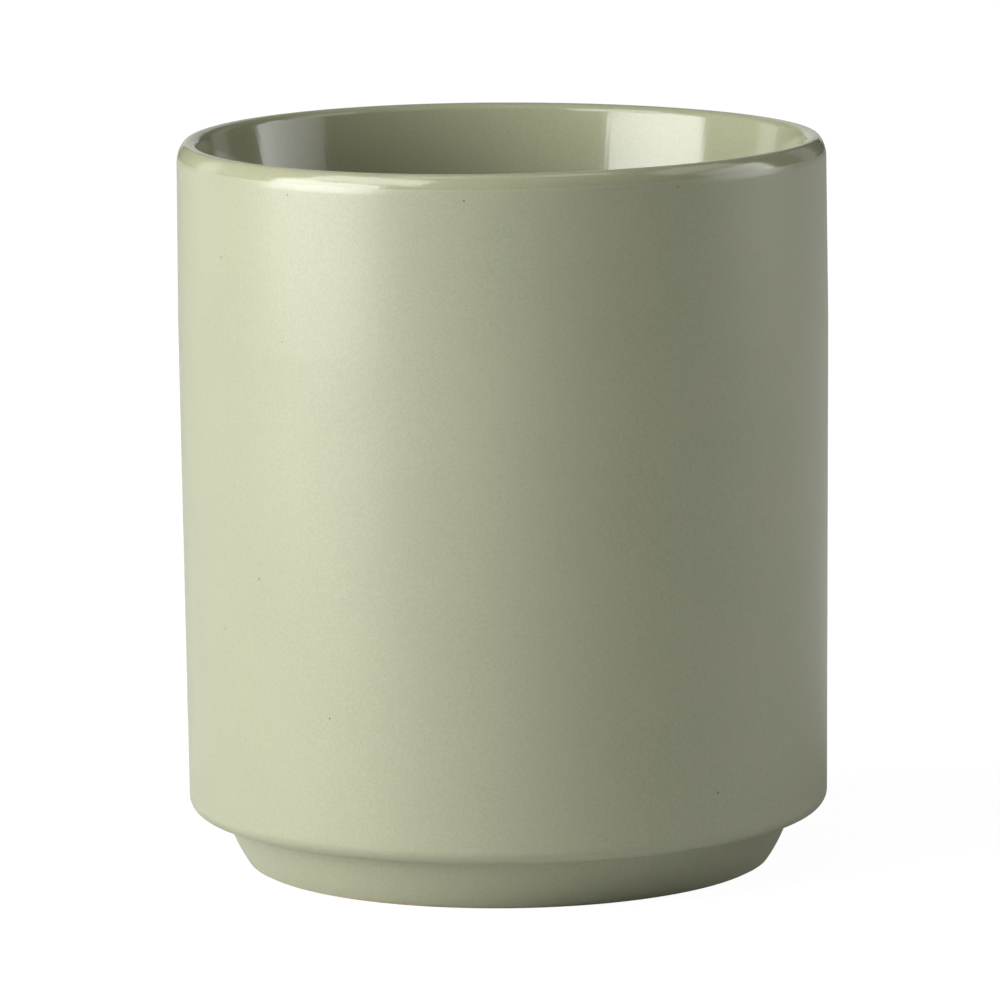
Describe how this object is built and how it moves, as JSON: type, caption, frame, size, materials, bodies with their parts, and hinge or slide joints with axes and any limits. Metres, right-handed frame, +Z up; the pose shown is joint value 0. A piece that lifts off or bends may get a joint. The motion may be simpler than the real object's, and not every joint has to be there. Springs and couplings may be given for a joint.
{
  "type": "brush holder pot",
  "caption": "Round upright stoneware pot that holds brushes or pens, open at the top, with a stepped-in foot, a satin glaze outside and a gloss glaze inside.",
  "frame": {"origin": "centre of the foot ring on the surface that the pot stands on", "axes": "+Z up the pot's axis, out of its mouth; +X and +Y lie in the surface, in any turn, as the pot is round"},
  "size_m": [0.0852, 0.0852, 0.096],
  "materials": {
    "bare_stoneware": "fired, unglazed, finely gritty",
    "satin_glaze": "satin sage glaze, finely mottled",
    "gloss_glaze": "clear gloss over sage"
  },
  "bodies": {
    "root": {"stoneware_body": "bare_stoneware", "satin_outer_glaze": "satin_glaze", "gloss_inner_glaze": "gloss_glaze", "foot_recess_glaze": "gloss_glaze"}
  },
  "joints": []
}
